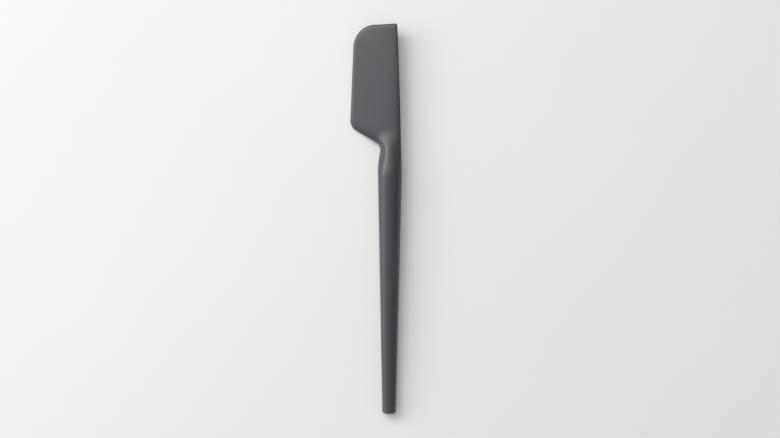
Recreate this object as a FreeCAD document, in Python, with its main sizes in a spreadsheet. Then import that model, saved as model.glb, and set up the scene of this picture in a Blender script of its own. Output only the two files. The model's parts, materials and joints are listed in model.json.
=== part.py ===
"""Slim one-piece silicone spatula whose blade is offset to one side of its handle.

The silicone is moulded in one shot round two inserts: a stainless stiffener stamped from strip,
and a tapered nylon core that is itself moulded round the stiffener's tang.  Only the silicone
shows, and past the stiffener it makes the blade's flexible edges.

Every sketch and formula uses one working frame, in millimetres: Y = 0 is the handle's end face and
+Y runs along the handle's axis to the blade's tip, +X points to the blade's straight back edge, -X
to its front edge, and Z = 0 is the plane in which the two mould halves meet.  lying_placement()
then lays every piece down as the spatula lies on a table, with the origin under the middle of its
bounding box.
"""
import FreeCAD, Part
import Sketcher
import math
import os

from FreeCAD import Placement, Rotation, Vector

# Each size is written once, here, and lives in the document's spreadsheet under its alias.
SIZES = {
    # handle
    "handle_length": (180.0, "end face to the hip, the handle's thickest place"),
    "hip_radius": (8.97, "handle's radius at the hip"),
    "end_radius": (5.05, "handle's radius where its taper meets the end face"),
    "end_round": (1.9, "rounding of the handle's end"),
    # plan outline of neck and blade
    "neck_length": (19.5, "hip to the throat, the inner corner under the blade's heel"),
    "throat_reach": (6.75, "handle's axis to the throat's corner"),
    "neck_angle": (11.0, "slant of the neck's front edge, in degrees"),
    "heel_rise": (13.8, "throat to the heel, along the handle's axis"),
    "heel_reach": (31.15, "handle's axis to the heel's corner"),
    "front_length": (75.3, "heel to the tip's front corner"),
    "tip_reach": (28.2, "handle's axis to the tip's front corner"),
    "tip_lean": (2.0, "slant of the tip edge, in degrees"),
    "back_reach_tip": (5.3, "handle's axis to the back edge, at the tip"),
    "back_reach_middle": (7.65, "handle's axis to the corner that the back edge's bow rounds"),
    "back_middle": (50.0, "that corner to the tip, along the handle's axis"),
    "hip_round_front": (65.0, "rounding of the hip's front side"),
    "hip_round_back": (400.0, "rounding of the hip's back side"),
    "throat_round": (6.5, "rounding of the throat"),
    "heel_round": (8.6, "rounding of the heel"),
    "tip_round": (16.5, "rounding of the tip's front corner"),
    "tip_back_round": (0.3, "rounding of the tip's back corner"),
    "back_bow": (4200.0, "radius of the slight bow of the back edge"),
    # thickness, measured from the parting plane
    "foot_offset": (10.0, "throat to where the neck has run out into the blade"),
    "root_thickness": (2.8, "half thickness of the blade at the neck's foot"),
    "tip_thickness": (1.4, "half thickness of the blade at its tip"),
    "front_thinning": (0.5, "share of its thickness that the blade loses at its front edge"),
    "hip_round_top": (42.0, "rounding of the hip on the broad faces"),
    "foot_round": (30.0, "rounding of the neck's foot on the broad faces"),
    "ridge_width": (10.5, "half width of the ridge that runs from the neck into the blade"),
    "heel_edge": (4.2, "width of the rounded edge along the heel"),
    "front_edge": (2.1, "width of the rounded edge along the front and the tip"),
    "back_edge_root": (12.5, "width of the rounded edge along the back, at the neck's foot"),
    "back_edge_tip": (6.5, "width of the rounded edge along the back, at the tip"),
    # nylon core in the handle
    "core_skin": (2.1, "silicone round the core"),
    "core_end_skin": (5.0, "silicone over the core's end"),
    "core_overrun": (4.0, "hip to the core's front end"),
    "rib_thickness": (3.2, "thickness of the core's two crossing ribs"),
    "notch_length": (6.0, "length of each keying notch in the ribs' edges"),
    "notch_depth": (0.9, "depth of each notch"),
    "notch_margin": (10.0, "core's ends to the nearest notches"),
    "notch_pitch": (24.0, "notch to notch"),
    # stainless stiffener
    "strip_thickness": (0.8, "thickness of the strip"),
    "strip_corner": (2.5, "rounding of the stiffener's corners in plan"),
    "tang_half_width": (4.0, "half width of the tang"),
    "tang_length": (56.0, "how far the tang runs into the core"),
    "plate_front_reach": (18.5, "handle's axis to the plate's front corner by the heel"),
    "plate_front_draw": (3.0, "how far the plate's front edge draws in at its far end"),
    "plate_back_draw": (2.4, "how far the plate's back edge draws in at its far end"),
    "plate_heel_margin": (7.4, "plate's heel edge to the blade's heel edge"),
    "plate_tip_margin": (32.0, "plate's far edge to the blade's tip"),
    "key_radius": (1.9, "radius of the holes in the stiffener that nylon or silicone fills"),
    "key_margin": (3.5, "middle of the plate's holes to its edges, at its far end"),
    "tang_key_margin": (8.0, "tang's end to its first hole, and its last hole to the core's end"),
    "tang_key_pitch": (30.0, "hole to hole along the tang"),
    "plate_key_pitch": (22.0, "row to row of holes in the plate"),
}
ACROSS = 30          # spans of the skin's net from the front edge to the back edge
TURN_STEP = 9.0      # degrees of an outline's arc between two sections of the net
RUN_STEP = 3.5       # most millimetres between two sections along an outline's straight stretches
JOIN_LEAD = 6.0      # the net starts this many millimetres before the handle leaves its taper
JOIN_TOLERANCE = 1e-4  # the net's first section follows the handle's circle within this
LEVEL_PASSES = 5     # repeats that settle where a section near the tip meets the back edge
MOST_ROLL = 60.0     # degrees that a handle this thick could at most roll before the heel lands
ROLL_TOLERANCE = 1e-3  # degrees


def add_sheet(doc):
    """The spreadsheet that holds every driving dimension under its own alias."""
    sheet = doc.addObject("Spreadsheet::Sheet", "Sizes")
    for row, (alias, (value, meaning)) in enumerate(SIZES.items(), start=1):
        sheet.set(f"A{row}", alias)
        sheet.set(f"B{row}", str(value))
        sheet.set(f"C{row}", meaning)
        sheet.setAlias(f"B{row}", alias)
    doc.recompute()
    return sheet


# Places along Y that several pieces share, as expressions of the sheet's aliases.
THROAT = "(Sizes.handle_length + Sizes.neck_length)"
FOOT = f"({THROAT} + Sizes.foot_offset)"
HEEL = f"({THROAT} + Sizes.heel_rise)"
TIP_FRONT = f"({HEEL} + Sizes.front_length)"
TIP_WIDTH = "(Sizes.tip_reach + Sizes.back_reach_tip)"
TIP = f"({TIP_FRONT} + {TIP_WIDTH} * tan(Sizes.tip_lean * 1deg))"
CORE_START = "Sizes.core_end_skin"
CORE_STOP = "(Sizes.handle_length + Sizes.core_overrun)"
TANG_START = f"({CORE_STOP} - Sizes.tang_length)"
PLATE_STOP = f"({TIP} - Sizes.plate_tip_margin)"


class Path:
    """A side of an outline: a line through corners, with each inner corner rounded by an arc.

    A corner is Vector(out, along): its distance out from the handle's axis and its place along it.
    """

    def __init__(self, corners, rounds):
        self.pieces = []
        last = corners[0]
        for before, corner, after, radius in zip(corners, corners[1:], corners[2:], rounds):
            arc = Arc(before, corner, after, radius)
            self.pieces += [Line(last, arc.start), arc]
            last = arc.end
        self.pieces.append(Line(last, corners[-1]))
        self.arcs = [piece for piece in self.pieces if isinstance(piece, Arc)]

    def out(self, along):
        """Distance out from the handle's axis at that place along it."""
        for piece in self.pieces:
            if along <= piece.end.y:
                return piece.out(along)
        return self.pieces[-1].end.x

    def along(self, along):
        """The path's point at that place along the handle's axis."""
        return Vector(self.out(along), along, 0)


class Line:
    """A straight stretch of a path."""

    def __init__(self, start, end):
        self.start, self.end = start, end

    def out(self, along):
        rise = self.end.y - self.start.y
        return between(self.start.x, self.end.x, (along - self.start.y) / rise if rise else 1.0)

    def distance(self, place):
        run = self.end - self.start
        share = (place - self.start).dot(run) / run.dot(run)
        return (place - self.start - run * min(1.0, max(0.0, share))).Length

    def points(self):
        """Points at even steps along the line, its end included."""
        count = math.ceil((self.end - self.start).Length / RUN_STEP)
        return [between(self.start, self.end, number / count) for number in range(1, count + 1)]


class Arc:
    """A rounded corner of a path."""

    def __init__(self, before, corner, after, radius):
        incoming = (before - corner).normalize()
        outgoing = (after - corner).normalize()
        half = incoming.getAngle(outgoing) / 2
        self.radius = radius
        self.start = corner + incoming * (radius / math.tan(half))
        self.end = corner + outgoing * (radius / math.tan(half))
        self.centre = corner + (incoming + outgoing).normalize() * (radius / math.sin(half))
        self.bulge = (corner - self.centre).normalize()
        self.turn = math.pi - 2 * half

    def out(self, along):
        rise = math.sqrt(max(0.0, self.radius**2 - (along - self.centre.y) ** 2))
        return self.centre.x + math.copysign(rise, self.bulge.x)

    def distance(self, place):
        spoke = place - self.centre
        if spoke.Length > 0 and spoke.getAngle(self.bulge) <= self.turn / 2:
            return abs(spoke.Length - self.radius)
        return min((place - self.start).Length, (place - self.end).Length)

    def points(self):
        """Points at even turns round the arc, its end included."""
        count = max(2, math.ceil(math.degrees(self.turn) / TURN_STEP))
        spoke = self.start - self.centre
        way = math.copysign(math.degrees(self.turn), spoke.cross(self.end - self.centre).z)
        turned = [Rotation(Vector(0, 0, 1), way * i / count) for i in range(1, count + 1)]
        return [self.centre + rotation.multVec(spoke) for rotation in turned]


def between(low, high, share):
    """The value at that share of the way from low to high."""
    return low + (high - low) * share


def ease(value, low, high):
    """Rises smoothly from 0 at low to 1 at high."""
    share = min(1.0, max(0.0, (value - low) / (high - low)))
    return share * share * (3 - 2 * share)


def rounding(distance, width):
    """Height of a quarter ellipse, as a share, at that distance in from its edge."""
    share = min(1.0, max(0.0, distance / width))
    return math.sqrt(1 - (1 - share) ** 2)


def nearest(pieces, place):
    """Distance from a place to the nearest of a path's pieces."""
    return min(piece.distance(place) for piece in pieces)


class OuterForm:
    """The silicone's outer form: a round handle that flows into a thin, offset blade.

    Three paths rule it: the front and back sides of its plan outline, and its crown, which is the
    height of the handle, of the neck and of the blade's ridge above the parting plane.
    """

    def __init__(self, size, place):
        self.size = size
        self.hip, self.throat, self.foot = size("handle_length"), place(THROAT), place(FOOT)
        heel, tip_front, self.tip = place(HEEL), place(TIP_FRONT), place(TIP)
        taper = (size("hip_radius") - size("end_radius")) / self.hip
        draw = math.tan(math.radians(size("neck_angle")))
        neck_top = size("throat_reach") + draw * self.throat
        front_hip = (neck_top - size("end_radius")) / (taper + draw)
        front = [
            (0, 0),
            (-size("end_radius"), 0),
            (-size("end_radius") - taper * front_hip, front_hip),
            (-size("throat_reach"), self.throat),
            (-size("heel_reach"), heel),
            (-size("tip_reach"), tip_front),
            (size("back_reach_tip"), self.tip),
        ]
        back = [
            (0, 0),
            (size("end_radius"), 0),
            (size("hip_radius"), self.hip),
            (size("back_reach_middle"), self.tip - size("back_middle")),
            (size("back_reach_tip"), self.tip),
            (-size("tip_reach"), tip_front),
        ]
        crown = [
            (0, 0),
            (size("end_radius"), 0),
            (size("hip_radius"), self.hip),
            (size("root_thickness"), self.foot),
            (size("tip_thickness"), self.tip),
        ]
        front_rounds = ["end_round", "hip_round_front", "throat_round", "heel_round", "tip_round"]
        back_rounds = ["end_round", "hip_round_back", "back_bow", "tip_back_round"]
        crown_rounds = ["end_round", "hip_round_top", "foot_round"]
        self.front = self._path(front, front_rounds)
        self.back = self._path(back, back_rounds)
        self.crown = self._path(crown, crown_rounds)
        self.throat_arc, self.heel_arc, self.tip_arc = self.front.arcs[2:]
        self.front_edges = self.front.pieces[3:]
        self.back_edges = self.back.pieces[3:-1]
        hips = [path.arcs[1].start.y for path in (self.front, self.back, self.crown)]
        self.join = min(hips) - JOIN_LEAD

    def _path(self, corners, rounds):
        return Path([Vector(*corner, 0) for corner in corners], [self.size(name) for name in rounds])

    def height(self, place):
        """Height of the upper skin over a place in the plan, and depth of the lower one."""
        size, x, along = self.size, place.x, place.y
        past_hip = ease(along, self.hip, self.throat_arc.start.y)
        from_front = between(
            x - self.front.out(along), nearest(self.front_edges, place), past_hip
        )
        from_back = between(self.back.out(along) - x, nearest(self.back_edges, place), past_hip)
        edges = rounding(from_front, self.front_width(along))
        edges *= rounding(from_back, self.back_width(along))
        run_out = min(1.0, max(0.0, (along - self.foot) / (self.tip - self.foot)))
        to_front = min(1.0, max(0.0, x / self.front.out(along)))
        thickness = between(size("root_thickness"), size("tip_thickness"), run_out)
        thickness *= 1 - size("front_thinning") * to_front**2
        ridge = max(0.0, 1 - (x / size("ridge_width")) ** 2) ** 2
        ridge = between(1.0, ridge, ease(along, self.hip, self.throat))
        return edges * between(thickness, self.crown.out(along), ridge)

    def front_width(self, along):
        """Width of the front side's rounding: half the handle, and then the blade's edge."""
        size = self.size
        neck = -self.front.out(min(along, self.throat_arc.start.y))
        heel = between(
            neck, size("heel_edge"), ease(along, self.throat_arc.start.y, self.heel_arc.start.y)
        )
        past_heel = ease(along, self.heel_arc.start.y, self.heel_arc.end.y)
        return between(heel, size("front_edge"), past_heel)

    def back_width(self, along):
        """Width of the back side's rounding: half the handle, and then the blade's edge."""
        run_out = min(1.0, max(0.0, (along - self.foot) / (self.tip - self.foot)))
        blade = between(self.size("back_edge_root"), self.size("back_edge_tip"), run_out)
        neck = self.back.out(min(along, self.throat_arc.start.y))
        return between(neck, blade, ease(along, self.throat_arc.start.y, self.foot))

    def sections(self):
        """Pairs of points on the outline, front and back, between which each section lies."""
        taper = Line(self.front.along(self.join), self.front.pieces[2].end)
        fronts = [taper.start]
        for piece in [taper] + self.front_edges[:-1]:
            fronts += piece.points()
        pairs = [(front, self._opposite(front)) for front in fronts[:-1]]
        return pairs + [(fronts[-1], self.back.arcs[-1].end)]

    def _opposite(self, front):
        """The back edge's point: straight across, and past the heel ever more along the tip."""
        lean = math.tan(math.radians(self.size("tip_lean")))
        corner = self.size("back_reach_tip")
        gap = self.tip - (corner - front.x) * lean - front.y
        level = self.tip - gap
        for _ in range(LEVEL_PASSES):
            level = self.tip - (corner - self.back.out(level)) * lean - gap
        share = ease(front.y, self.heel_arc.end.y, self.tip_arc.start.y)
        along = between(front.y, level, share)
        return Vector(self.back.out(along), along, 0)

    def rows(self):
        """Points of the upper skin: a row for each section, the last one flat along the tip's edge."""
        shares = [(1 - math.cos(math.pi * number / ACROSS)) / 2 for number in range(ACROSS + 1)]
        rows = [[between(*ends, share) for share in shares] for ends in self.sections()]
        for row in rows[:-1]:
            row[1:-1] = [place + Vector(0, 0, self.height(place)) for place in row[1:-1]]
        return rows

    def skin(self):
        """The upper skin: one smooth face through the points of every section."""
        rows = self.rows()
        sections = self.sections()
        turns = [number / ACROSS for number in range(ACROSS + 1)]
        lengths = [0.0]
        for (last, _), (front, _) in zip(sections, sections[1:]):
            lengths.append(lengths[-1] + (front - last).Length)
        across = [spline(row, turns) for row in rows]
        nets = [curve.getPoles() for curve in across]
        along = [spline(column, lengths) for column in zip(*nets)]
        poles = [list(column) for column in zip(*(curve.getPoles() for curve in along))]
        surface = Part.BSplineSurface()
        surface.buildFromPolesMultsKnots(
            poles,
            along[0].getMultiplicities(),
            across[0].getMultiplicities(),
            along[0].getKnots(),
            across[0].getKnots(),
            False,
            False,
            3,
            3,
        )
        return surface.toShape()

    def head(self):
        """Neck and blade: both skins, closed by the disc where they join the handle."""
        upper = self.skin()
        lower = upper.mirror(Vector(0, 0, 0), Vector(0, 0, 1))
        rims = [min(face.Edges, key=lambda edge: edge.CenterOfMass.y) for face in (upper, lower)]
        disc = Part.Face(Part.Wire(Part.sortEdges(rims)[0]))
        faces = Part.Compound([upper, lower, disc])
        faces.sewShape()
        head = Part.Solid(faces.Shells[0])
        if head.Volume < 0:
            head.reverse()
        return head

    def handle(self):
        """The handle, turned: its end face, its rounding and its taper up to the head."""
        centre, rim, taper = [piece.start for piece in self.back.pieces[:3]]
        bulge = self.back.arcs[0].centre + self.back.arcs[0].bulge * self.size("end_round")
        top = self.back.along(self.join)
        profile = [
            Part.LineSegment(centre, rim),
            Part.Arc(rim, bulge, taper),
            Part.LineSegment(taper, top),
            Part.LineSegment(top, Vector(0, self.join, 0)),
            Part.LineSegment(Vector(0, self.join, 0), centre),
        ]
        wire = Part.Wire([curve.toShape() for curve in profile])
        return Part.Face(wire).revolve(Vector(0, 0, 0), Vector(0, 1, 0), 360)

    def solid(self):
        """Handle and head as one solid, with no face left between them."""
        return self.handle().fuse([self.head()], JOIN_TOLERANCE).Solids[0]


def spline(points, parameters):
    """A smooth curve that passes through each point at its parameter."""
    curve = Part.BSplineCurve()
    curve.interpolate(Points=list(points), Parameters=list(parameters))
    return curve


def add_body(doc, name):
    """An empty PartDesign body."""
    return doc.addObject("PartDesign::Body", name)


def origin_feature(body, role):
    """One of the planes or axes of a body's own origin."""
    return next(item for item in body.Origin.OriginFeatures if item.Role == role)


def add_sketch(body, name, plane="XY_Plane"):
    """A sketch in one of the body's planes: by default the parting plane."""
    sketch = body.newObject("Sketcher::SketchObject", name)
    sketch.AttachmentSupport = (origin_feature(body, plane), [""])
    sketch.MapMode = "FlatFace"
    return sketch


def fix_point(sketch, place, geometry, end, label, across, along):
    """Ties a sketch's point to two expressions: its distances from both of the frame's axes."""
    for axis, expression in (("X", across), ("Y", along)):
        value = place(expression)
        if value < 0:
            ends = (geometry, end, -1, 1)
            expression = f"-({expression})"
        else:
            ends = (-1, 1, geometry, end)
        constraint = Sketcher.Constraint(f"Distance{axis}", *ends, abs(value))
        index = sketch.addConstraint(constraint)
        sketch.renameConstraint(index, f"{label}{axis}")
        sketch.setExpression(f"Constraints.{label}{axis}", expression)


def add_polygon(sketch, place, corners):
    """A closed line through corners, each a pair of expressions: the sketch's X and its Y."""
    points = [Vector(place(x), place(y), 0) for x, y in corners]
    for start, end in zip(points, points[1:] + points[:1]):
        sketch.addGeometry(Part.LineSegment(start, end), False)
    for number, corner in enumerate(corners):
        following = (number + 1) % len(corners)
        sketch.addConstraint(Sketcher.Constraint("Coincident", number, 2, following, 1))
        fix_point(sketch, place, number, 1, f"Corner{number}", *corner)


def add_circle(sketch, place, radius, across, along):
    """A circle whose radius and centre follow three expressions."""
    centre = Vector(place(across), place(along), 0)
    number = sketch.addGeometry(Part.Circle(centre, Vector(0, 0, 1), place(radius)), False)
    index = sketch.addConstraint(Sketcher.Constraint("Radius", number, place(radius)))
    sketch.renameConstraint(index, f"Radius{number}")
    sketch.setExpression(f"Constraints.Radius{number}", radius)
    fix_point(sketch, place, number, 3, f"Centre{number}", across, along)


def add_plate(body, name, sketch, thickness):
    """A plate of a sketch's outline, with the sketch's plane in its middle."""
    plate = body.newObject("PartDesign::Pad", name)
    plate.Profile = sketch
    plate.Midplane = True
    plate.setExpression("Length", thickness)
    return plate


def add_through_cut(body, name, sketch):
    """A pocket of a sketch right through the body, above and below the parting plane."""
    pocket = body.newObject("PartDesign::Pocket", name)
    pocket.Profile = sketch
    pocket.Type = "ThroughAll"
    pocket.Midplane = True
    return pocket


def add_row(body, name, feature, pitch, count):
    """Copies of a feature along the handle's axis; the body then ends with the row."""
    row = body.newObject("PartDesign::LinearPattern", name)
    row.Originals = [feature]
    row.Direction = (origin_feature(body, "Y_Axis"), [""])
    row.setExpression("Length", f"{pitch} * max(1; {count} - 1)")
    row.setExpression("Occurrences", count)
    body.Tip = row
    return row


def rib_reach(along):
    """Handle's axis to a rib's edge at a place, as an expression."""
    rise = "(Sizes.hip_radius - Sizes.end_radius) / Sizes.handle_length"
    return f"(Sizes.end_radius + {rise} * {along} - Sizes.core_skin)"


def rib_corners(place):
    """Outline of a rib as (across, along) expressions: it tapers, with notches in both edges."""
    room = f"({CORE_STOP} - {CORE_START} - 2 * Sizes.notch_margin - Sizes.notch_length)"
    side = [(rib_reach(CORE_START), CORE_START)]
    for number in range(int(place(count_in(room, "Sizes.notch_pitch")))):
        low = f"({CORE_START} + Sizes.notch_margin + {number} * Sizes.notch_pitch)"
        high = f"({low} + Sizes.notch_length)"
        side.append((rib_reach(low), low))
        side.append((f"({rib_reach(low)} - Sizes.notch_depth)", low))
        side.append((f"({rib_reach(high)} - Sizes.notch_depth)", high))
        side.append((rib_reach(high), high))
    side.append((rib_reach(CORE_STOP), CORE_STOP))
    return side + [(f"-{across}", along) for across, along in reversed(side)]


def add_core(doc, place):
    """Nylon core: two tapered ribs that cross on the handle's axis."""
    body = add_body(doc, "CoreBlank")
    corners = rib_corners(place)
    flat = add_sketch(body, "FlatRibOutline", "XY_Plane")
    add_polygon(flat, place, corners)
    add_plate(body, "FlatRib", flat, "Sizes.rib_thickness")
    doc.recompute()
    upright = add_sketch(body, "UprightRibOutline", "YZ_Plane")
    add_polygon(upright, place, [(along, across) for across, along in corners])
    add_plate(body, "UprightRib", upright, "Sizes.rib_thickness")
    doc.recompute()
    return body


def add_stiffener(doc, place):
    """Stainless stiffener: a tang, and an offset plate with holes that lock it in place."""
    body = add_body(doc, "BladeStiffener")
    outline = add_sketch(body, "StripOutline")
    rise = "(Sizes.heel_rise / (Sizes.heel_reach - Sizes.throat_reach))"
    margin = f"(Sizes.plate_heel_margin * sqrt(1 + {rise} * {rise}))"
    heel_line = f"({THROAT} + {margin} + {rise} * ({{}} - Sizes.throat_reach))"
    tang, plate = "Sizes.tang_half_width", "Sizes.plate_front_reach"
    corners = [
        (f"-{tang}", TANG_START),
        (tang, TANG_START),
        (tang, FOOT),
        (f"({tang} - Sizes.plate_back_draw)", PLATE_STOP),
        (f"(Sizes.plate_front_draw - {plate})", PLATE_STOP),
        (f"-{plate}", heel_line.format(plate)),
        (f"-{tang}", heel_line.format(tang)),
    ]
    add_polygon(outline, place, corners)
    strip = add_plate(body, "Strip", outline, "Sizes.strip_thickness")
    doc.recompute()

    rounded = body.newObject("PartDesign::Fillet", "RoundedCorners")
    rounded.Base = (strip, edges_where(strip.Shape, is_upright))
    rounded.setExpression("Radius", "Sizes.strip_corner")
    doc.recompute()

    holes = add_sketch(body, "TangHole")
    first = f"({TANG_START} + Sizes.tang_key_margin)"
    add_circle(holes, place, "Sizes.key_radius", "0", first)
    hole = add_through_cut(body, "TangKey", holes)
    room = "(Sizes.tang_length - 2 * Sizes.tang_key_margin)"
    add_row(body, "TangKeys", hole, "Sizes.tang_key_pitch", count_in(room, "Sizes.tang_key_pitch"))
    doc.recompute()

    pair = add_sketch(body, "PlateHolePair")
    front = f"({plate} - Sizes.plate_front_draw - Sizes.key_margin)"
    back = f"({tang} - Sizes.plate_back_draw - Sizes.key_margin)"
    first = f"({heel_line.format(plate)} + Sizes.key_margin)"
    add_circle(pair, place, "Sizes.key_radius", f"-{front}", first)
    add_circle(pair, place, "Sizes.key_radius", back, first)
    holes = add_through_cut(body, "PlateKeyPair", pair)
    room = f"({PLATE_STOP} - Sizes.key_margin - {first})"
    pitch = "Sizes.plate_key_pitch"
    add_row(body, "PlateKeys", holes, pitch, count_in(room, pitch))
    doc.recompute()
    return body


def count_in(room, pitch):
    """How many copies a pitch apart fit in a room, as an expression."""
    return f"floor(max(0; {room}) / {pitch}) + 1"


def edges_where(shape, test):
    """Names of the edges of a shape that pass a test."""
    return [f"Edge{n}" for n, edge in enumerate(shape.Edges, start=1) if test(edge)]


def is_upright(edge):
    """Whether an edge is a straight one along Z."""
    return isinstance(edge.Curve, Part.Line) and abs(edge.Curve.Direction.z) > 1 - 1e-6


def lying_turn(form):
    """How the spatula turns as it lies down: it rests on its taper, and rolls onto its heel."""
    size = form.size
    taper = math.atan2(size("hip_radius") - size("end_radius"), size("handle_length"))
    tilt = Rotation(Vector(1, 0, 0), math.degrees(taper))
    table = -size("end_radius") * math.cos(taper)
    points = [point for row in form.rows() for point in row if point.y > form.throat]
    underside = [Vector(point.x, point.y, -point.z) for point in points]
    low, high = 0.0, MOST_ROLL
    while high - low > ROLL_TOLERANCE:
        middle = (low + high) / 2
        turn = tilt.multiply(Rotation(Vector(0, 1, 0), -middle))
        if min(turn.multVec(point).z for point in underside) > table:
            low = middle
        else:
            high = middle
    return tilt.multiply(Rotation(Vector(0, 1, 0), -low))


def lying_placement(solid, turn):
    """Lays the spatula down, with the origin on the table under the middle of its box."""
    turned = solid.copy()
    turned.Placement = Placement(Vector(0, 0, 0), turn)
    box = turned.optimalBoundingBox()
    shift = Vector(-(box.XMin + box.XMax) / 2, -(box.YMin + box.YMax) / 2, -box.ZMin)
    return Placement(shift, turn)


def add_moulding(doc, label, form, inserts):
    """A moulded piece: its form less the inserts that it is moulded round."""
    moulding = doc.addObject("Part::Cut", label)
    moulding.Base = form
    moulding.Tool = inserts
    return moulding


def check(doc, parts):
    """Stops when a feature has failed or a sub-part's shape can't be used."""
    for item in doc.Objects:
        if "Invalid" in item.State or "Error" in item.State:
            raise RuntimeError(f"{item.Label} failed: {item.State}")
    for part in parts:
        if part.Shape.isNull() or not part.Shape.isValid():
            raise RuntimeError(f"{part.Label} has no valid shape")


def main():
    doc = FreeCAD.newDocument("Spatula")
    sheet = add_sheet(doc)

    def size(alias):
        return float(sheet.get(alias))

    def place(expression):
        value = sheet.evalExpression(expression)
        return float(getattr(value, "Value", value))

    outer = OuterForm(size, place)
    form = doc.addObject("Part::Feature", "OuterForm")
    form.Shape = outer.solid()
    core = add_core(doc, place)
    stiffener = add_stiffener(doc, place)
    stiffener.Label = "blade_stiffener"
    lying = lying_placement(form.Shape, lying_turn(outer))
    for piece in (form, core, stiffener):
        piece.Placement = lying
    inserts = doc.addObject("Part::Fuse", "Inserts")
    inserts.Base = core
    inserts.Tool = stiffener
    handle_core = add_moulding(doc, "handle_core", core, stiffener)
    overmould = add_moulding(doc, "silicone_overmould", form, inserts)
    doc.recompute()

    parts = [overmould, handle_core, stiffener]
    check(doc, parts)
    os.makedirs("parts", exist_ok=True)
    for part in parts:
        part.Shape.exportStep(f"parts/{part.Label}.step")
        print(part.Label, len(part.Shape.Solids), round(part.Shape.Volume, 1))


main()
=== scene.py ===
"""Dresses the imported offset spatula: its seamless silicone skin, its two inserts and a stage.

The skin is built in the spatula's working frame: Y = 0 is the handle's end face and +Y runs along
the handle's axis to the blade's tip, +X points to the blade's straight back edge, and Z = 0 is the
plane in which the two mould halves meet.  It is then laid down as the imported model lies.
"""
import json
import math

import bmesh
import bpy
from bpy.props import FloatProperty, PointerProperty, StringProperty
from mathutils import Euler, Matrix, Vector


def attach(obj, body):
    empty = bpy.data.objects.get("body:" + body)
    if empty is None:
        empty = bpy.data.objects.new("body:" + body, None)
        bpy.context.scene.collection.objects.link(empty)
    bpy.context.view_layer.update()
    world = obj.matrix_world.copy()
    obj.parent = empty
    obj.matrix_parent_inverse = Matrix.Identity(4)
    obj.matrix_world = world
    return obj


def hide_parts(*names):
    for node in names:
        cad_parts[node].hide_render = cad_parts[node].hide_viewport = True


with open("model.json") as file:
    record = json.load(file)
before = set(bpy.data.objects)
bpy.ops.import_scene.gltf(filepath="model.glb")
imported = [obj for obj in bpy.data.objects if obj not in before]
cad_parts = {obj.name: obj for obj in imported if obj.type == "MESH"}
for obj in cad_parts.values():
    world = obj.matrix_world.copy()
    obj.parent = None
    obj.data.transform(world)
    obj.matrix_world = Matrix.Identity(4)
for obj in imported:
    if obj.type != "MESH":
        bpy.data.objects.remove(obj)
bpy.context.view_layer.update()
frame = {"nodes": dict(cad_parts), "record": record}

bl_info = {
    "name": "Offset spatula",
    "version": (1, 0, 0),
    "blender": (4, 5, 0),
    "location": "3D View > Sidebar > Spatula",
    "description": "Builds the silicone skin, the insert finishes and the stage of an offset spatula",
    "category": "Object",
}

MM = 0.001
BODY = "spatula"


def length(name, description, millimetres):
    """A length property whose default is given in millimetres."""
    return FloatProperty(
        name=name, description=description, default=millimetres * MM, min=0.0, unit="LENGTH"
    )


def angle(name, description, degrees):
    """An angle property whose default is given in degrees."""
    return FloatProperty(
        name=name, description=description, default=math.radians(degrees), unit="ROTATION"
    )


def share(name, description, default):
    """A property between 0 and 1."""
    return FloatProperty(
        name=name, description=description, default=default, min=0.0, max=1.0, subtype="FACTOR"
    )


def power(name, description, watts):
    """The power of a light, in watts."""
    return FloatProperty(name=name, description=description, default=watts, min=0.0, unit="POWER")


def hex_colour(name, description, default):
    """A colour property, written as an sRGB hex value."""
    return StringProperty(name=name, description=description, default=default)


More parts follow.
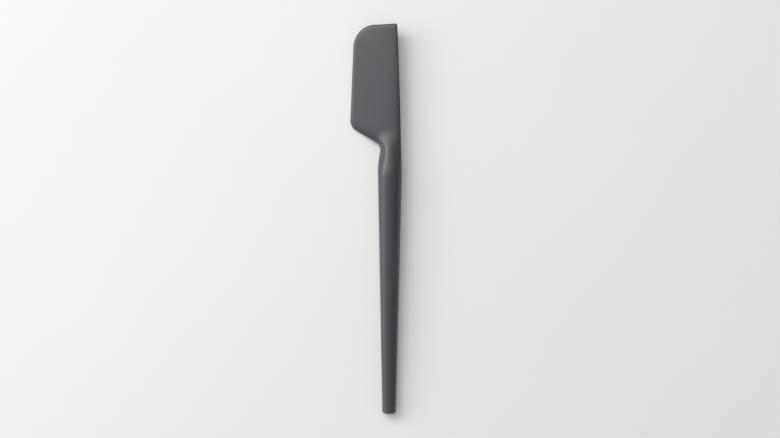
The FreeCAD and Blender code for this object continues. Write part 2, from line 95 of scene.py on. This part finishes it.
class SkinSizes(bpy.types.PropertyGroup):
    """Sizes of the spatula's outer form."""

    handle_length: length("Handle length", "End face to hip, the thickest place", 180.0)
    hip_radius: length("Hip radius", "Handle's radius at the hip", 8.97)
    end_radius: length("End radius", "Handle's radius at its end", 5.05)
    end_round: length("End rounding", "Rounding of the handle's end", 1.9)
    neck_length: length("Neck length", "Hip to throat, the inner corner by the heel", 19.5)
    throat_reach: length("Throat reach", "Handle's axis to the throat's corner", 6.75)
    neck_angle: angle("Neck angle", "Slant of the neck's front edge", 11.0)
    heel_rise: length("Heel rise", "Throat to heel, along the handle's axis", 13.8)
    heel_reach: length("Heel reach", "Handle's axis to the heel's corner", 31.15)
    front_length: length("Front length", "Heel to the tip's front corner", 75.3)
    tip_reach: length("Tip reach", "Handle's axis to the tip's front corner", 28.2)
    tip_lean: angle("Tip lean", "Slant of the tip edge", 2.0)
    back_reach_tip: length("Back reach, tip", "Handle's axis to the back edge's end", 5.3)
    back_reach_middle: length("Back reach, bow", "Handle's axis to the back edge's bow", 7.65)
    back_middle: length("Bow to tip", "Back edge's bow to the tip", 50.0)
    hip_round_front: length("Hip rounding, front", "Rounding of the hip's front", 65.0)
    hip_round_back: length("Hip rounding, back", "Rounding of the hip's back", 400.0)
    throat_round: length("Throat rounding", "Rounding of the throat", 6.5)
    heel_round: length("Heel rounding", "Rounding of the heel", 8.6)
    tip_round: length("Tip rounding", "Rounding of the tip's front corner", 16.5)
    tip_back_round: length("Back corner", "Rounding of the tip's back corner", 1.5)
    back_bow: length("Back bow", "Radius of the slight bow of the back edge", 3850.0)
    foot_offset: length("Foot", "Throat to the place where the neck has run out", 10.0)
    root_thickness: length("Root half thickness", "Blade at the neck's foot", 2.8)
    tip_thickness: length("Tip half thickness", "Blade at its tip", 1.4)
    front_thinning: share("Front thinning", "Thickness that the front edge loses", 0.5)
    hip_round_top: length("Hip rounding, faces", "Rounding of the hip's broad faces", 42.0)
    foot_round: length("Foot rounding", "Rounding of the neck's foot", 30.0)
    ridge_width: length("Ridge", "Half width of the ridge from neck to blade", 10.5)
    heel_edge: length("Heel edge", "Width of the rounded edge along the heel", 4.2)
    front_edge: length("Front edge", "Width of the rounded edge along front and tip", 2.1)
    back_edge_root: length("Back edge, root", "Width of the back's rounding, root", 12.5)
    back_edge_tip: length("Back edge, tip", "Width of the back's rounding, tip", 6.5)


class FinishChoices(bpy.types.PropertyGroup):
    """Colours and surface finishes."""

    silicone: hex_colour("Silicone", "Pigmented silicone rubber", "#434548")
    silicone_worn: hex_colour("Silicone, handled", "Where hands have polished it", "#47494C")
    silicone_roughness: share("Silicone roughness", "Gloss of the moulded skin", 0.36)
    polish: share("Polish", "How much smoother hands have made the handle", 0.06)
    polish_patch: length("Polished patches", "Size of the patches that hands polish", 38.0)
    grain: length("Mould grain", "Spark-eroded grain, coarser than the real 0.1 mm", 0.45)
    flash_width: length("Flash line", "Width of the line where the mould halves meet", 0.35)
    nylon: hex_colour("Nylon", "Natural glass-filled nylon", "#CDC7B8")
    steel: hex_colour("Steel", "Mill finish stainless strip", "#C6C4C0")


class StageChoices(bpy.types.PropertyGroup):
    """Floor, lights and camera."""

    floor: hex_colour("Floor", "Honed pale board", "#EEEDEC")
    sky: hex_colour("Sky", "Light from all round", "#EEF1F5")
    sky_strength: FloatProperty(name="Sky strength", description="Fill light", default=0.3)
    low_window: power("Low window", "Window that glints on the neck", 22.0)
    low_glow: power("Low glow", "More of that window's light, without its shadow", 26.0)
    far_window: power("Far window", "Window beyond the blade's tip", 26.0)
    ceiling: power("Ceiling", "Broad soft light over the table's far side", 32.0)
    wall: power("Wall", "Pale wall that sends light low across the table", 18.0)
    camera_height: length("Camera height", "Above the floor", 1200.0)
    camera_lens: FloatProperty(
        name="Camera lens", description="Focal length in millimetres", default=74.0
    )
    camera_turn: angle("Camera turn", "Turn about the view's axis", 0.2)


# The outer form -----------------------------------------------------------------------------

ACROSS = 56         # spans of the skin from the front edge to the back edge
TURN_STEP = 3.0     # degrees of an outline's arc between two rows
RUN_STEP = 2.0 * MM  # most distance between two rows along a straight stretch
END_RINGS = 4       # rings of faces in the handle's flat end
LEVEL_PASSES = 5    # repeats that settle where a row near the tip meets the back edge
MOST_ROLL = 60.0    # degrees that the spatula could at most roll before its heel lands
ROLL_HALVINGS = 24  # halvings of that range, which find the roll to a hundred-thousandth degree


def between(low, high, part):
    """The value at that share of the way from low to high."""
    return low + (high - low) * part


def within(value, low, high):
    """How far value lies from low to high, as a share from 0 to 1."""
    return min(1.0, max(0.0, (value - low) / (high - low)))


def ease(value, low, high):
    """Rises smoothly from 0 at low to 1 at high."""
    part = within(value, low, high)
    return part * part * (3 - 2 * part)


def rounding(distance, width):
    """Height of a quarter ellipse, as a share, at that distance in from its edge."""
    return math.sqrt(1 - (1 - within(distance, 0.0, width)) ** 2)


def nearest(pieces, place):
    """Distance from a place to the nearest of a path's pieces."""
    return min(piece.distance(place) for piece in pieces)


class Line:
    """A straight stretch of an outline."""

    def __init__(self, start, end):
        self.start, self.end = start, end

    def out(self, along):
        rise = self.end.y - self.start.y
        return between(self.start.x, self.end.x, (along - self.start.y) / rise if rise else 1.0)

    def distance(self, place):
        run = self.end - self.start
        part = min(1.0, max(0.0, (place - self.start).dot(run) / run.length_squared))
        return (place - self.start - run * part).length

    def points(self):
        """Points at even steps along the line, its end included."""
        count = math.ceil((self.end - self.start).length / RUN_STEP)
        return [between(self.start, self.end, number / count) for number in range(1, count + 1)]


class Arc:
    """A rounded corner of an outline."""

    def __init__(self, before, corner, after, radius):
        incoming = (before - corner).normalized()
        outgoing = (after - corner).normalized()
        half = incoming.angle(outgoing) / 2
        self.radius = radius
        self.start = corner + incoming * (radius / math.tan(half))
        self.end = corner + outgoing * (radius / math.tan(half))
        self.centre = corner + (incoming + outgoing).normalized() * (radius / math.sin(half))
        self.bulge = (corner - self.centre).normalized()
        self.turn = math.pi - 2 * half

    def out(self, along):
        rise = math.sqrt(max(0.0, self.radius**2 - (along - self.centre.y) ** 2))
        return self.centre.x + math.copysign(rise, self.bulge.x)

    def distance(self, place):
        spoke = place - self.centre
        if spoke.length > 0 and spoke.angle(self.bulge) <= self.turn / 2:
            return abs(spoke.length - self.radius)
        return min((place - self.start).length, (place - self.end).length)

    def points(self):
        """Points at even turns round the arc, its end included."""
        count = max(2, math.ceil(math.degrees(self.turn) / TURN_STEP))
        spoke = self.start - self.centre
        way = math.copysign(self.turn, spoke.cross(self.end - self.centre).z)
        turned = [Matrix.Rotation(way * i / count, 3, "Z") for i in range(1, count + 1)]
        return [self.centre + rotation @ spoke for rotation in turned]


class Path:
    """A side of the outline: lines through corners given as (out, along), and rounded arcs."""

    def __init__(self, corners, rounds):
        corners = [Vector((*corner, 0)) for corner in corners]
        self.pieces = []
        last = corners[0]
        for before, corner, after, radius in zip(corners, corners[1:], corners[2:], rounds):
            arc = Arc(before, corner, after, radius)
            self.pieces += [Line(last, arc.start), arc]
            last = arc.end
        self.pieces.append(Line(last, corners[-1]))
        self.arcs = self.pieces[1::2]

    def out(self, along):
        """Distance out from the handle's axis at that place along it."""
        for piece in self.pieces:
            if along <= piece.end.y:
                return piece.out(along)
        return self.pieces[-1].end.x


class OuterForm:
    """A round handle that flows, without a seam, into a thin blade set to one side."""

    def __init__(self, sizes):
        self.sizes = sizes
        self.hip = sizes.handle_length
        self.throat = self.hip + sizes.neck_length
        self.foot = self.throat + sizes.foot_offset
        heel = self.throat + sizes.heel_rise
        tip_front = heel + sizes.front_length
        self.tip_slope = math.tan(sizes.tip_lean)
        self.tip = tip_front + (sizes.tip_reach + sizes.back_reach_tip) * self.tip_slope
        taper = (sizes.hip_radius - sizes.end_radius) / self.hip
        draw = math.tan(sizes.neck_angle)
        neck_top = sizes.throat_reach + draw * self.throat
        front_hip = (neck_top - sizes.end_radius) / (taper + draw)
        self.front = Path(
            [
                (0, 0),
                (-sizes.end_radius, 0),
                (-sizes.end_radius - taper * front_hip, front_hip),
                (-sizes.throat_reach, self.throat),
                (-sizes.heel_reach, heel),
                (-sizes.tip_reach, tip_front),
                (sizes.back_reach_tip, self.tip),
            ],
            [
                sizes.end_round,
                sizes.hip_round_front,
                sizes.throat_round,
                sizes.heel_round,
                sizes.tip_round,
            ],
        )
        self.back = Path(
            [
                (0, 0),
                (sizes.end_radius, 0),
                (sizes.hip_radius, self.hip),
                (sizes.back_reach_middle, self.tip - sizes.back_middle),
                (sizes.back_reach_tip, self.tip),
                (-sizes.tip_reach, tip_front),
            ],
            [sizes.end_round, sizes.hip_round_back, sizes.back_bow, sizes.tip_back_round],
        )
        self.crown = Path(
            [
                (0, 0),
                (sizes.end_radius, 0),
                (sizes.hip_radius, self.hip),
                (sizes.root_thickness, self.foot),
                (sizes.tip_thickness, self.tip),
            ],
            [sizes.end_round, sizes.hip_round_top, sizes.foot_round],
        )
        self.throat_arc, self.heel_arc, self.tip_arc = self.front.arcs[2:]
        self.front_edges = self.front.pieces[3:]
        self.back_edges = self.back.pieces[3:-1]

    def height(self, place):
        """Height of the upper skin over a place in the plan, and depth of the lower one."""
        sizes, x, along = self.sizes, place.x, place.y
        past_hip = ease(along, self.hip, self.throat_arc.start.y)
        from_front = between(x - self.front.out(along), nearest(self.front_edges, place), past_hip)
        from_back = between(self.back.out(along) - x, nearest(self.back_edges, place), past_hip)
        edges = rounding(from_front, self.front_width(along))
        edges *= rounding(from_back, self.back_width(along))
        run_out = within(along, self.foot, self.tip)
        to_front = min(1.0, max(0.0, x / self.front.out(along)))
        thickness = between(sizes.root_thickness, sizes.tip_thickness, run_out)
        thickness *= 1 - sizes.front_thinning * to_front**2
        ridge = max(0.0, 1 - (x / sizes.ridge_width) ** 2) ** 2
        ridge = between(1.0, ridge, ease(along, self.hip, self.throat))
        return edges * between(thickness, self.crown.out(along), ridge)

    def front_width(self, along):
        """Width of the front side's rounding: half the handle, and then the blade's edge."""
        throat, heel = self.throat_arc.start.y, self.heel_arc.start.y
        neck = -self.front.out(min(along, throat))
        width = between(neck, self.sizes.heel_edge, ease(along, throat, heel))
        return between(width, self.sizes.front_edge, ease(along, heel, self.heel_arc.end.y))

    def back_width(self, along):
        """Width of the back side's rounding: half the handle, and then the blade's edge."""
        sizes, throat = self.sizes, self.throat_arc.start.y
        run_out = within(along, self.foot, self.tip)
        blade = between(sizes.back_edge_root, sizes.back_edge_tip, run_out)
        return between(self.back.out(min(along, throat)), blade, ease(along, throat, self.foot))

    def sections(self):
        """Pairs of points on the outline, front and back, between which each section lies."""
        fronts = [self.front.pieces[0].end]
        for piece in self.front.pieces[1:-1]:
            fronts += piece.points()
        pairs = [(front, self.opposite(front)) for front in fronts[:-1]]
        return pairs + [(fronts[-1], self.back.arcs[-1].end)]

    def opposite(self, front):
        """The back edge's point: straight across, and past the heel ever more along the tip."""
        corner = self.sizes.back_reach_tip
        gap = self.tip - (corner - front.x) * self.tip_slope - front.y
        level = self.tip - gap
        for _ in range(LEVEL_PASSES):
            level = self.tip - (corner - self.back.out(level)) * self.tip_slope - gap
        part = ease(front.y, self.heel_arc.end.y, self.tip_arc.start.y)
        along = between(front.y, level, part)
        return Vector((self.back.out(along), along, 0))

    def rows(self):
        """Points of the upper skin: one row for each section, from the front to the back edge."""
        shares = [(1 - math.cos(math.pi * number / ACROSS)) / 2 for number in range(ACROSS + 1)]
        rows = [[between(*ends, part) for part in shares] for ends in self.sections()]
        for row in rows[:-1]:
            for place in row[1:-1]:
                place.z = self.height(place)
        return rows


def lying_turn(form, rows):
    """How the spatula turns as it lies down: it rests on its taper, and rolls onto its heel."""
    sizes = form.sizes
    taper = math.atan2(sizes.hip_radius - sizes.end_radius, sizes.handle_length)
    tilt = Matrix.Rotation(taper, 3, "X")
    table = -sizes.end_radius * math.cos(taper)
    points = [point for row in rows for point in row if point.y > form.throat]
    underside = [Vector((point.x, point.y, -point.z)) for point in points]
    low, high = 0.0, math.radians(MOST_ROLL)
    for _ in range(ROLL_HALVINGS):
        middle = (low + high) / 2
        upright = (tilt @ Matrix.Rotation(-middle, 3, "Y"))[2]
        if min(upright.dot(point) for point in underside) > table:
            low = middle
        else:
            high = middle
    return tilt @ Matrix.Rotation(-low, 3, "Y")


def skin_mesh(sizes):
    """The whole skin as one closed mesh of quads, and its lie in the row's frame."""
    form = OuterForm(sizes)
    rows = form.rows()
    turn = lying_turn(form, rows)
    handle_end = Vector(frame["record"]["mounts"][0]["pos_m"])
    lie = Matrix.Translation(handle_end) @ turn.to_4x4()
    mesh = bmesh.new()
    loops = []
    for number, row in enumerate(rows):
        upper = [mesh.verts.new(point) for point in row]
        if number == len(rows) - 1:
            lower = upper[1:-1]
        else:
            lower = [mesh.verts.new((point.x, point.y, -point.z)) for point in row[1:-1]]
        loops.append(upper + lower[::-1])
    around = len(loops[0])
    for low, high in zip(loops, loops[1:]):
        for number in range(around):
            after = (number + 1) % around
            mesh.faces.new((low[number], low[after], high[after], high[number]))
    rim = loops[0]
    for ring in range(END_RINGS - 1, 0, -1):
        inner = [mesh.verts.new(vertex.co * (ring / END_RINGS)) for vertex in loops[0]]
        for number in range(around):
            after = (number + 1) % around
            mesh.faces.new((inner[number], inner[after], rim[after], rim[number]))
        rim = inner
    centre = mesh.verts.new((0, 0, 0))
    for number in range(around):
        mesh.faces.new((centre, rim[(number + 1) % around], rim[number]))
    bmesh.ops.recalc_face_normals(mesh, faces=mesh.faces)
    for face in mesh.faces:
        face.smooth = True
    mesh.transform(lie)
    data = bpy.data.meshes.new("silicone_skin")
    mesh.to_mesh(data)
    mesh.free()
    return data, lie


# Materials ----------------------------------------------------------------------------------

FIBRE_STREAK = 0.6 * MM   # width of the streaks that glass fibres leave in the nylon
ROLLING_LINE = 0.15 * MM  # width of the lines that the rolls leave in the steel
FLOOR_CLOUD = 160 * MM    # size of the board's faint clouds
GRIP_ENDS = 60 * MM       # along Y: no hand holds the blade beyond this place
GRIP_STARTS = -20 * MM    # and from here back, hands hold the handle fully


def linear(hex_value):
    """An sRGB hex value as linear RGBA."""
    parts = [int(hex_value[i : i + 2], 16) / 255 for i in (1, 3, 5)]
    parts = [c / 12.92 if c <= 0.04045 else ((c + 0.055) / 1.055) ** 2.4 for c in parts]
    return (*parts, 1.0)


def add_node(material, kind, links=(), **settings):
    """A node with its settings, and with its inputs set or linked: {input: value or socket}."""
    node = material.node_tree.nodes.new(kind)
    for name, value in settings.items():
        setattr(node, name, value)
    for name, value in dict(links).items():
        if isinstance(value, bpy.types.NodeSocket):
            material.node_tree.links.new(value, node.inputs[name])
        else:
            node.inputs[name].default_value = value
    return node


def new_material(name):
    """An empty node material."""
    material = bpy.data.materials.new(name)
    material.use_nodes = True
    material.node_tree.nodes.clear()
    return material


def moulded_silicone(choices, lie):
    """Compression-moulded silicone rubber, pigmented charcoal.

    The mould is spark-eroded, so the skin is satin and never glossy: soft wide highlights over an
    even, slightly cool dark grey.  Hands polish the handle in patches, and a hairline of flash
    runs round the edges where the mould halves meet.
    """
    material = new_material("compression_moulded_silicone_rubber")
    place = add_node(material, "ShaderNodeTexCoord").outputs["Object"]
    clouds = add_node(
        material,
        "ShaderNodeTexNoise",
        {"Vector": place, "Scale": 1 / choices.polish_patch, "Detail": 3.0, "Roughness": 0.55},
    ).outputs["Fac"]
    grain = add_node(
        material,
        "ShaderNodeTexNoise",
        {"Vector": place, "Scale": 1 / choices.grain, "Detail": 2.0, "Roughness": 0.6},
    ).outputs["Fac"]
    along = add_node(material, "ShaderNodeSeparateXYZ", {"Vector": place}).outputs["Y"]
    grip = add_node(
        material,
        "ShaderNodeMapRange",
        {"Value": along, "From Min": GRIP_ENDS, "From Max": GRIP_STARTS},
        interpolation_type="SMOOTHSTEP",
    ).outputs["Result"]
    patches = add_node(
        material,
        "ShaderNodeMapRange",
        {"Value": clouds, "From Min": 0.35, "From Max": 0.65},
        interpolation_type="SMOOTHSTEP",
    ).outputs["Result"]
    handled = add_node(
        material, "ShaderNodeMath", {0: grip, 1: patches}, operation="MULTIPLY"
    ).outputs["Value"]
    colour = add_node(
        material,
        "ShaderNodeMix",
        {
            "Factor": handled,
            "A": linear(choices.silicone),
            "B": linear(choices.silicone_worn),
        },
        data_type="RGBA",
    )
    roughness = add_node(
        material,
        "ShaderNodeMapRange",
        {
            "Value": handled,
            "To Min": choices.silicone_roughness,
            "To Max": choices.silicone_roughness - choices.polish,
        },
    )
    # Height above the plane in which the mould halves meet.
    upward = lie.col[2].xyz
    turned = add_node(
        material, "ShaderNodeVectorMath", {0: place, 1: upward}, operation="DOT_PRODUCT"
    ).outputs["Value"]
    height = add_node(
        material,
        "ShaderNodeMath",
        {0: turned, 1: upward.dot(lie.translation)},
        operation="SUBTRACT",
    ).outputs["Value"]
    off_line = add_node(material, "ShaderNodeMath", {0: height}, operation="ABSOLUTE")
    flash = add_node(
        material,
        "ShaderNodeMapRange",
        {
            "Value": off_line.outputs["Value"],
            "From Min": choices.flash_width / 2,
            "From Max": 0.0,
        },
        interpolation_type="SMOOTHSTEP",
    ).outputs["Result"]
    grained = add_node(
        material, "ShaderNodeBump", {"Height": grain, "Strength": 0.25, "Distance": 0.03 * MM}
    ).outputs["Normal"]
    bump = add_node(
        material,
        "ShaderNodeBump",
        {"Height": flash, "Strength": 0.6, "Distance": 0.08 * MM, "Normal": grained},
    )
    shader = add_node(
        material,
        "ShaderNodeBsdfPrincipled",
        {
            "Base Color": colour.outputs["Result"],
            "Roughness": roughness.outputs["Result"],
            "IOR": 1.41,
            "Normal": bump.outputs["Normal"],
        },
    )
    add_node(material, "ShaderNodeOutputMaterial", {"Surface": shader.outputs["BSDF"]})
    return material


def moulded_nylon(choices):
    """Injection-moulded nylon with glass fibre: off-white, with faint streaks along its flow."""
    material = new_material("injection_moulded_glass_filled_nylon")
    place = add_node(material, "ShaderNodeTexCoord").outputs["Object"]
    along = add_node(
        material, "ShaderNodeMapping", {"Vector": place, "Scale": (1.0, 0.12, 1.0)}
    ).outputs["Vector"]
    fibres = add_node(
        material,
        "ShaderNodeTexNoise",
        {"Vector": along, "Scale": 1 / FIBRE_STREAK, "Detail": 3.0},
    ).outputs["Fac"]
    colour = add_node(
        material,
        "ShaderNodeMix",
        {"Factor": fibres, "A": linear(choices.nylon), "B": linear("#BBB4A3")},
        data_type="RGBA",
    )
    roughness = add_node(
        material, "ShaderNodeMapRange", {"Value": fibres, "To Min": 0.42, "To Max": 0.58}
    )
    bump = add_node(
        material, "ShaderNodeBump", {"Height": fibres, "Strength": 0.3, "Distance": 0.03 * MM}
    )
    shader = add_node(
        material,
        "ShaderNodeBsdfPrincipled",
        {
            "Base Color": colour.outputs["Result"],
            "Roughness": roughness.outputs["Result"],
            "IOR": 1.53,
            "Normal": bump.outputs["Normal"],
        },
    )
    add_node(material, "ShaderNodeOutputMaterial", {"Surface": shader.outputs["BSDF"]})
    return material


def rolled_steel(choices):
    """Mill finish stainless strip: bright, with fine rolling lines along the strip."""
    material = new_material("cold_rolled_stainless_steel")
    place = add_node(material, "ShaderNodeTexCoord").outputs["Object"]
    along = add_node(
        material, "ShaderNodeMapping", {"Vector": place, "Scale": (1.0, 0.02, 1.0)}
    ).outputs["Vector"]
    lines = add_node(
        material,
        "ShaderNodeTexNoise",
        {"Vector": along, "Scale": 1 / ROLLING_LINE, "Detail": 2.0},
    ).outputs["Fac"]
    colour = add_node(
        material,
        "ShaderNodeMix",
        {"Factor": lines, "A": linear(choices.steel), "B": linear("#B4B2AF")},
        data_type="RGBA",
    )
    roughness = add_node(
        material, "ShaderNodeMapRange", {"Value": lines, "To Min": 0.24, "To Max": 0.38}
    )
    bump = add_node(
        material, "ShaderNodeBump", {"Height": lines, "Strength": 0.2, "Distance": 0.01 * MM}
    )
    shader = add_node(
        material,
        "ShaderNodeBsdfPrincipled",
        {
            "Base Color": colour.outputs["Result"],
            "Metallic": 1.0,
            "Roughness": roughness.outputs["Result"],
            "Normal": bump.outputs["Normal"],
        },
    )
    add_node(material, "ShaderNodeOutputMaterial", {"Surface": shader.outputs["BSDF"]})
    return material


def honed_floor(choices):
    """Honed pale board: nearly white, dead matt and without a pattern."""
    material = new_material("honed_pale_board")
    place = add_node(material, "ShaderNodeTexCoord").outputs["Object"]
    clouds = add_node(
        material,
        "ShaderNodeTexNoise",
        {"Vector": place, "Scale": 1 / FLOOR_CLOUD, "Detail": 4.0},
    ).outputs["Fac"]
    colour = add_node(
        material,
        "ShaderNodeMix",
        {"Factor": clouds, "A": linear(choices.floor), "B": linear("#EAE9E8")},
        data_type="RGBA",
    )
    shader = add_node(
        material,
        "ShaderNodeBsdfPrincipled",
        {"Base Color": colour.outputs["Result"], "Roughness": 0.7},
    )
    add_node(material, "ShaderNodeOutputMaterial", {"Surface": shader.outputs["BSDF"]})
    return material


# Operators ----------------------------------------------------------------------------------

# Where each soft light stands: degrees round from +X, degrees above the floor, and then its
# distance, width and height in metres.
SOFT_LIGHTS = {
    "low_window": (160.0, 28.0, 3.0, 1.6, 1.0),
    "low_glow": (160.0, 28.0, 3.1, 1.65, 1.03),
    "far_window": (140.0, 45.0, 3.0, 1.3, 1.3),
    "ceiling": (110.0, 58.0, 3.0, 2.3, 2.3),
    "wall": (180.0, 15.0, 3.0, 2.4, 1.6),
}
# At full strength, a window this low would throw a long shadow past the short soft one of the
# lights above, so part of its light casts none.
SHADOWLESS = ("low_glow",)
FLOOR_REACH = 3.0        # metres from the middle of the floor to its sides
SENSOR_WIDTH = 36.0      # millimetres
CAMERA_SIDE = 0.19 * MM  # how far the camera stands beside the handle's end


class SPATULA_OT_silicone_skin(bpy.types.Operator):
    """Build the seamless silicone skin, blade and handle in one"""

    bl_idname = "spatula.silicone_skin"
    bl_label = "Silicone skin"

    def execute(self, context):
        data, lie = skin_mesh(context.scene.spatula_skin)
        skin = bpy.data.objects.new("silicone_skin", data)
        context.scene.collection.objects.link(skin)
        data.materials.append(moulded_silicone(context.scene.spatula_finish, lie))
        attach(skin, BODY)
        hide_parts("silicone_overmould")
        return {"FINISHED"}


class SPATULA_OT_inserts(bpy.types.Operator):
    """Finish the nylon core and the steel stiffener inside the silicone"""

    bl_idname = "spatula.inserts"
    bl_label = "Inserts"

    def execute(self, context):
        choices = context.scene.spatula_finish
        finishes = {
            "handle_core": moulded_nylon(choices),
            "blade_stiffener": rolled_steel(choices),
        }
        for node, material in finishes.items():
            data = frame["nodes"][node].data
            data.materials.clear()
            data.materials.append(material)
        return {"FINISHED"}


class SPATULA_OT_stage(bpy.types.Operator):
    """Set up the pale floor, the soft window light and the camera straight above"""

    bl_idname = "spatula.stage"
    bl_label = "Stage"

    def execute(self, context):
        scene, choices = context.scene, context.scene.spatula_stage
        self.add_floor(scene, choices)
        self.add_sky(scene, choices)
        for name, stand in SOFT_LIGHTS.items():
            self.add_light(scene, name, stand, getattr(choices, name))
        self.add_camera(scene, choices)
        scene.view_settings.view_transform = "Standard"
        return {"FINISHED"}

    def add_floor(self, scene, choices):
        mesh = bpy.data.meshes.new("floor")
        signs = ((-1, -1), (1, -1), (1, 1), (-1, 1))
        corners = [(x * FLOOR_REACH, y * FLOOR_REACH, 0) for x, y in signs]
        mesh.from_pydata(corners, [], [(0, 1, 2, 3)])
        mesh.materials.append(honed_floor(choices))
        floor = bpy.data.objects.new("floor", mesh)
        scene.collection.objects.link(floor)

    def add_sky(self, scene, choices):
        world = bpy.data.worlds.new("soft_room")
        world.use_nodes = True
        background = world.node_tree.nodes["Background"]
        background.inputs["Color"].default_value = linear(choices.sky)
        background.inputs["Strength"].default_value = choices.sky_strength
        scene.world = world

    def add_light(self, scene, name, stand, watts):
        """A soft rectangle of light that faces the middle of the floor."""
        round_floor, above_floor, distance, width, height = stand
        light = bpy.data.lights.new(name, "AREA")
        light.shape = "RECTANGLE"
        light.size, light.size_y = width, height
        light.energy = watts
        light.use_shadow = name not in SHADOWLESS
        lamp = bpy.data.objects.new(name, light)
        outward = Euler((0.0, -math.radians(above_floor), math.radians(round_floor))).to_matrix()
        lamp.location = outward @ Vector((distance, 0.0, 0.0))
        lamp.rotation_euler = lamp.location.to_track_quat("Z", "Y").to_euler()
        scene.collection.objects.link(lamp)

    def add_camera(self, scene, choices):
        data = bpy.data.cameras.new("camera")
        data.sensor_width = SENSOR_WIDTH
        data.lens = choices.camera_lens
        camera = bpy.data.objects.new("camera", data)
        handle_end = Vector(frame["record"]["mounts"][0]["pos_m"])
        camera.location = (handle_end.x + CAMERA_SIDE, 0.0, choices.camera_height)
        camera.rotation_euler = Euler((0.0, 0.0, choices.camera_turn))
        scene.collection.objects.link(camera)
        scene.camera = camera


class SPATULA_PT_panel(bpy.types.Panel):
    """Lists the spatula's operators and settings"""

    bl_idname = "SPATULA_PT_panel"
    bl_label = "Offset spatula"
    bl_space_type = "VIEW_3D"
    bl_region_type = "UI"
    bl_category = "Spatula"

    def draw(self, context):
        for operator in OPERATORS:
            self.layout.operator(operator.bl_idname)
        for name in GROUPS:
            box = self.layout.box()
            settings = getattr(context.scene, name)
            for key in settings.__annotations__:
                box.prop(settings, key)


GROUPS = {
    "spatula_skin": SkinSizes,
    "spatula_finish": FinishChoices,
    "spatula_stage": StageChoices,
}
OPERATORS = (SPATULA_OT_silicone_skin, SPATULA_OT_inserts, SPATULA_OT_stage)


def register():
    for group in GROUPS.values():
        bpy.utils.register_class(group)
    for name, group in GROUPS.items():
        setattr(bpy.types.Scene, name, PointerProperty(type=group))
    for item in (*OPERATORS, SPATULA_PT_panel):
        bpy.utils.register_class(item)


def unregister():
    for item in (SPATULA_PT_panel, *reversed(OPERATORS)):
        bpy.utils.unregister_class(item)
    for name in GROUPS:
        delattr(bpy.types.Scene, name)
    for group in GROUPS.values():
        bpy.utils.unregister_class(group)


def main():
    register()
    bpy.ops.spatula.silicone_skin()
    bpy.ops.spatula.inserts()
    bpy.ops.spatula.stage()


if __name__ == "__main__":
    main()
